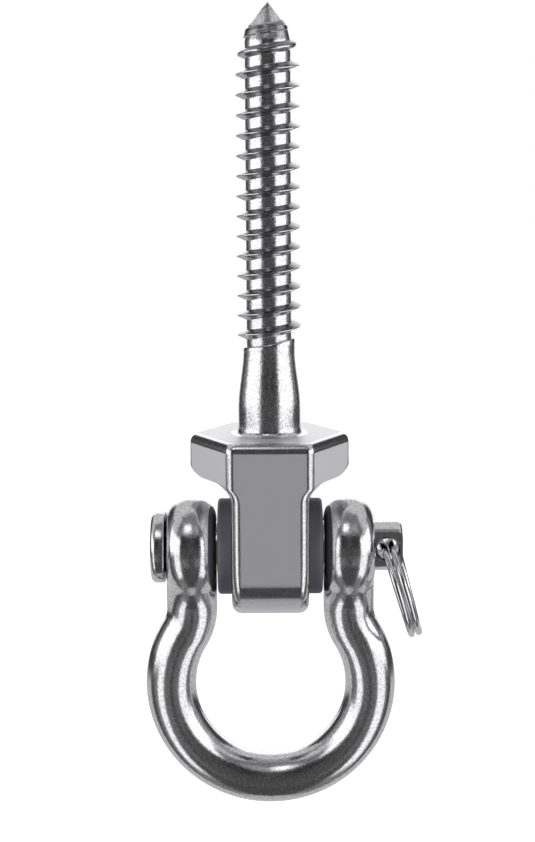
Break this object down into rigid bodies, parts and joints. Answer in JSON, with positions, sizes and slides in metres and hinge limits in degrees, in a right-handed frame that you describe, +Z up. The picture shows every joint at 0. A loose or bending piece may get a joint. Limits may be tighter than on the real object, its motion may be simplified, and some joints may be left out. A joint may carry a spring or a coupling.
{
  "type": "hammock hook",
  "caption": "Lag-screw ceiling hanger with a hexagonal head and flat tongue, carrying a swinging bow shackle on a bushed clevis pin kept by a split ring.",
  "frame": {"origin": "centre of the hexagon's top face, which seats on the joist, on the screw's axis", "axes": "+Z up along the screw towards its point, +X along the clevis pin towards the split ring, the shackle hangs towards -Z"},
  "size_m": [0.0443, 0.022, 0.1268],
  "materials": {
    "hanger_steel": "polished stainless steel",
    "bush_nylon": "moulded nylon",
    "shackle_steel": "polished stainless steel",
    "pin_steel": "polished stainless steel",
    "ring_steel": "polished stainless steel"
  },
  "bodies": {
    "hanger": {"lag_screw_hanger": "hanger_steel", "bush_left": "bush_nylon", "bush_right": "bush_nylon"},
    "shackle": {"bow_shackle": "shackle_steel"},
    "pin": {"clevis_pin": "pin_steel"},
    "ring": {"split_ring": "ring_steel"}
  },
  "joints": [
    {"name": "shackle_swing", "type": "hinge", "parent": "hanger", "child": "shackle", "pos_m": [0, 0, -0.0183], "axis": [1, 0, 0], "range_deg": [-140, 140]},
    {"name": "pin_turn", "type": "hinge", "parent": "shackle", "child": "pin", "pos_m": [0, 0, -0.0183], "axis": [1, 0, 0], "continuous": true},
    {"name": "ring_swing", "type": "hinge", "parent": "pin", "child": "ring", "pos_m": [0.01855, 0, -0.0183], "axis": [0, -1, 0], "range_deg": [-12, 150]}
  ]
}
